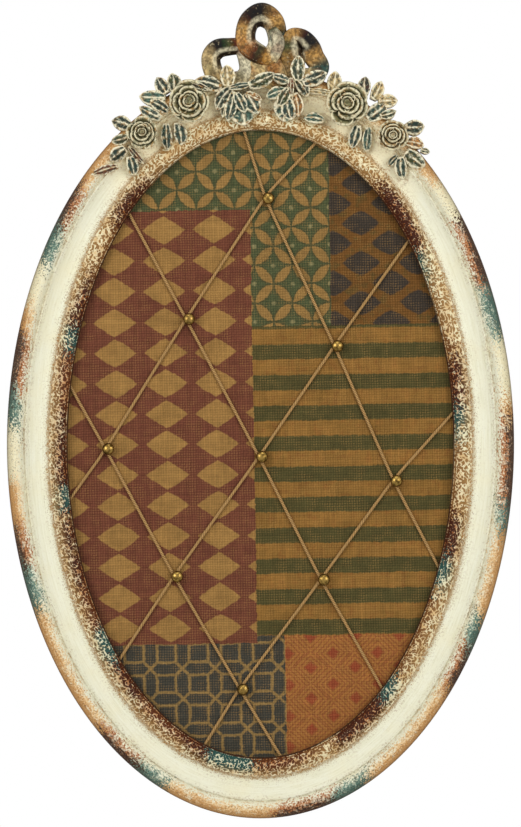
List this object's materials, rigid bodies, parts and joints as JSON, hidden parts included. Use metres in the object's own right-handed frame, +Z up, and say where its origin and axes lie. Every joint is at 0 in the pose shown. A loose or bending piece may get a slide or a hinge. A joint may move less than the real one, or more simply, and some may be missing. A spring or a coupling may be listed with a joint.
{
  "type": "pin board",
  "caption": "Oval wall pin board: a painted cast frame with a rose, leaf and bow crest round a padded printed-cloth board with a twine lattice and brass dome tacks.",
  "frame": {"origin": "middle of the oval, on the rear face of the back panel", "axes": "+Z up along the oval's long axis towards the crest, +Y back towards the wall, so the face looks along -Y, and +X to the right as seen from the front"},
  "size_m": [0.4064, 0.0494, 0.6523],
  "materials": {
    "frame_paint": "antiqued cream and patina paint on a cast body, satin",
    "bow_paint": "mottled ochre and rust paint on a cast body, satin",
    "leaf_paint": "dark green and teal wash over cream on a cast body, satin",
    "rose_paint": "cream paint with olive glaze in the grooves, satin",
    "printed_cloth": "printed plain-weave burlap, dull",
    "foam": "open-cell foam pad, dull",
    "fibreboard": "soft fibreboard, dull",
    "hardboard": "tempered hardboard, smooth and dull",
    "jute": "twisted jute twine, dull and hairy",
    "antique_brass": "aged brass plate, satin",
    "brass_plate": "brass-plated steel, bright",
    "zinc_plate": "zinc plate, bright",
    "black_rubber": "moulded rubber, matt"
  },
  "bodies": {
    "frame": {"frame_ring": "frame_paint", "crest_bow": "bow_paint", "leaf_spray_centre": "leaf_paint", "leaf_spray_left_inner": "leaf_paint", "leaf_spray_left_outer": "leaf_paint", "leaf_spray_right_inner": "leaf_paint", "leaf_spray_right_outer": "leaf_paint", "rose_left_inner": "rose_paint", "rose_left_outer": "rose_paint", "rose_right_inner": "rose_paint", "rose_right_outer": "rose_paint", "bloom_left": "rose_paint", "bloom_right": "rose_paint", "fabric_cover": "printed_cloth", "foam_pad": "foam", "board_core": "fibreboard", "back_panel": "hardboard", "twine_falling_1": "jute", "twine_falling_2": "jute", "twine_falling_3": "jute", "twine_rising_1": "jute", "twine_rising_2": "jute", "twine_rising_3": "jute", "tack_1": "antique_brass", "tack_2": "antique_brass", "tack_3": "antique_brass", "tack_4": "antique_brass", "tack_5": "antique_brass", "tack_6": "antique_brass", "tack_7": "antique_brass", "tack_8": "antique_brass", "tack_9": "antique_brass", "turn_button_screw_1": "zinc_plate", "turn_button_screw_2": "zinc_plate", "turn_button_screw_3": "zinc_plate", "turn_button_screw_4": "zinc_plate", "turn_button_screw_5": "zinc_plate", "turn_button_screw_6": "zinc_plate", "hanger_strap_right": "zinc_plate", "hanger_screw_right": "zinc_plate", "hanger_strap_left": "zinc_plate", "hanger_screw_left": "zinc_plate", "wall_bumper_right": "black_rubber", "wall_bumper_left": "black_rubber"},
    "turn_button_1": {"turn_button_1": "brass_plate"},
    "turn_button_2": {"turn_button_2": "brass_plate"},
    "turn_button_3": {"turn_button_3": "brass_plate"},
    "turn_button_4": {"turn_button_4": "brass_plate"},
    "turn_button_5": {"turn_button_5": "brass_plate"},
    "turn_button_6": {"turn_button_6": "brass_plate"},
    "hanger_loop_right": {"hanger_loop_right": "zinc_plate"},
    "hanger_loop_left": {"hanger_loop_left": "zinc_plate"}
  },
  "joints": [
    {"name": "turn_button_1_pivot", "type": "hinge", "parent": "frame", "child": "turn_button_1", "pos_m": [0.07256, 0.0009, 0.24334], "axis": [0, 1, 0], "continuous": true},
    {"name": "turn_button_2_pivot", "type": "hinge", "parent": "frame", "child": "turn_button_2", "pos_m": [0.1717, 0.0009, 0], "axis": [0, 1, 0], "continuous": true},
    {"name": "turn_button_3_pivot", "type": "hinge", "parent": "frame", "child": "turn_button_3", "pos_m": [0.07256, 0.0009, -0.24334], "axis": [0, 1, 0], "continuous": true},
    {"name": "turn_button_4_pivot", "type": "hinge", "parent": "frame", "child": "turn_button_4", "pos_m": [-0.07256, 0.0009, -0.24334], "axis": [0, 1, 0], "continuous": true},
    {"name": "turn_button_5_pivot", "type": "hinge", "parent": "frame", "child": "turn_button_5", "pos_m": [-0.1717, 0.0009, 0], "axis": [0, 1, 0], "continuous": true},
    {"name": "turn_button_6_pivot", "type": "hinge", "parent": "frame", "child": "turn_button_6", "pos_m": [-0.07256, 0.0009, 0.24334], "axis": [0, 1, 0], "continuous": true},
    {"name": "hanger_loop_right_swing", "type": "hinge", "parent": "frame", "child": "hanger_loop_right", "pos_m": [0.16139, 0.0026, 0.13126], "axis": [1, 0, 0], "range_deg": [0, 180]},
    {"name": "hanger_loop_left_swing", "type": "hinge", "parent": "frame", "child": "hanger_loop_left", "pos_m": [-0.16139, 0.0026, 0.13126], "axis": [1, 0, 0], "range_deg": [0, 180]}
  ]
}
